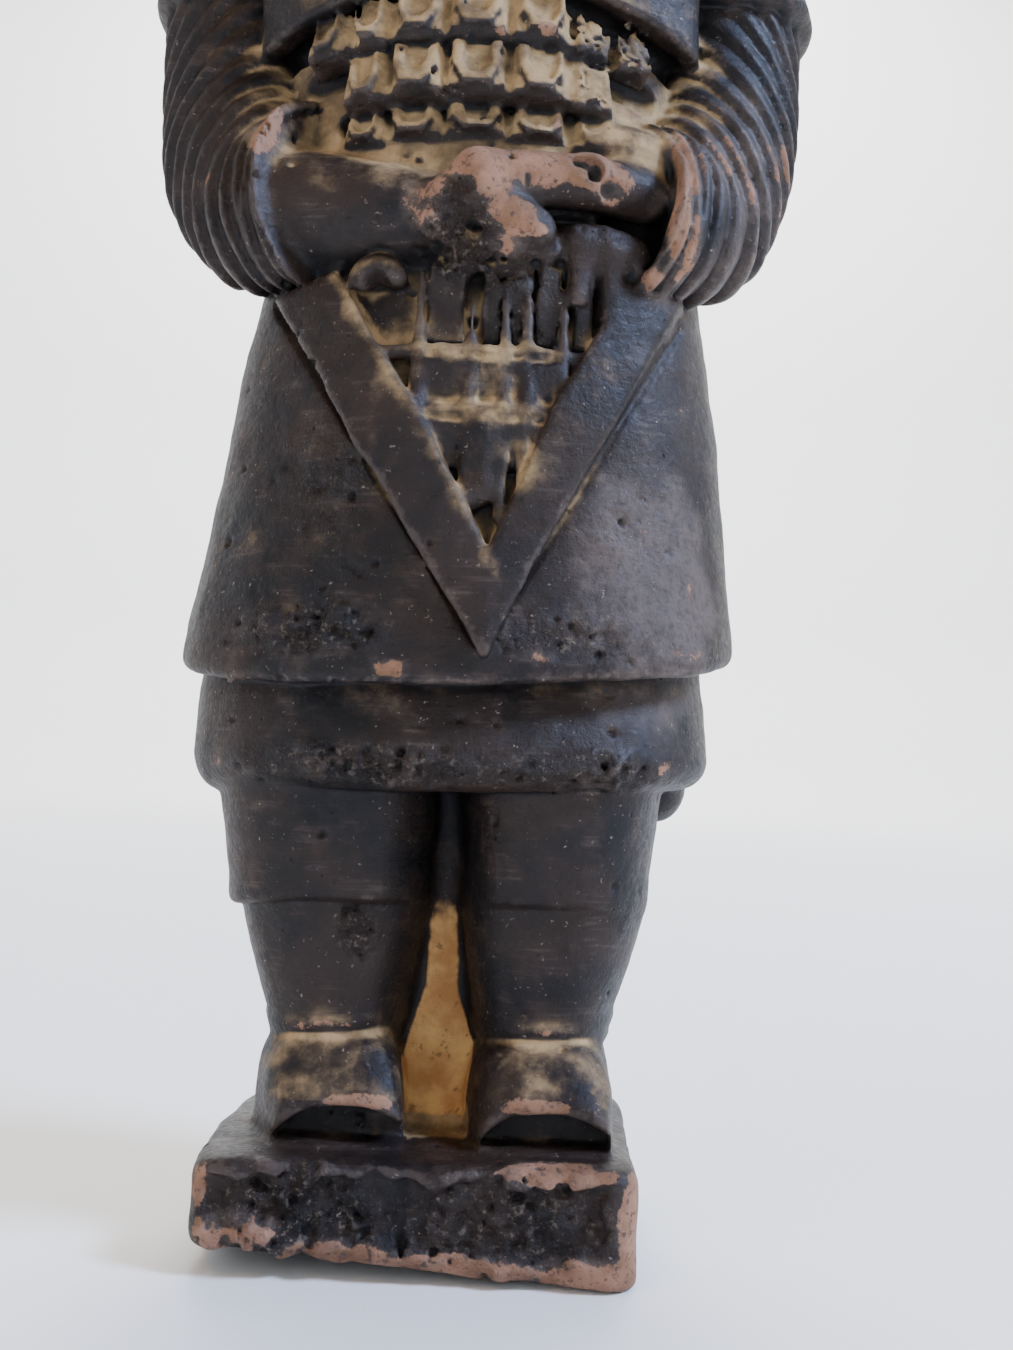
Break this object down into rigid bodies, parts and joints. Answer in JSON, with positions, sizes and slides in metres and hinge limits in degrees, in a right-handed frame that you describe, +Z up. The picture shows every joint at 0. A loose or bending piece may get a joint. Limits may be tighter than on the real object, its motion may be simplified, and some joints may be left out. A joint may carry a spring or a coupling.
{
  "type": "terracotta warrior figurine",
  "caption": "Small standing armoured warrior of fired clay with a worn black slip, cast in one with its low plinth, to stand on a shelf.",
  "frame": {"origin": "on the plinth's underside, below the middle of the figure", "axes": "+Z up along the figure's height, the figure faces -Y, +X is the figure's left"},
  "size_m": [0.0574, 0.0303, 0.152],
  "materials": {
    "fired_clay": "satin black slip over pinkish fired clay, rubbed through on the edges"
  },
  "bodies": {
    "root": {"warrior_statue": "fired_clay"}
  },
  "joints": []
}
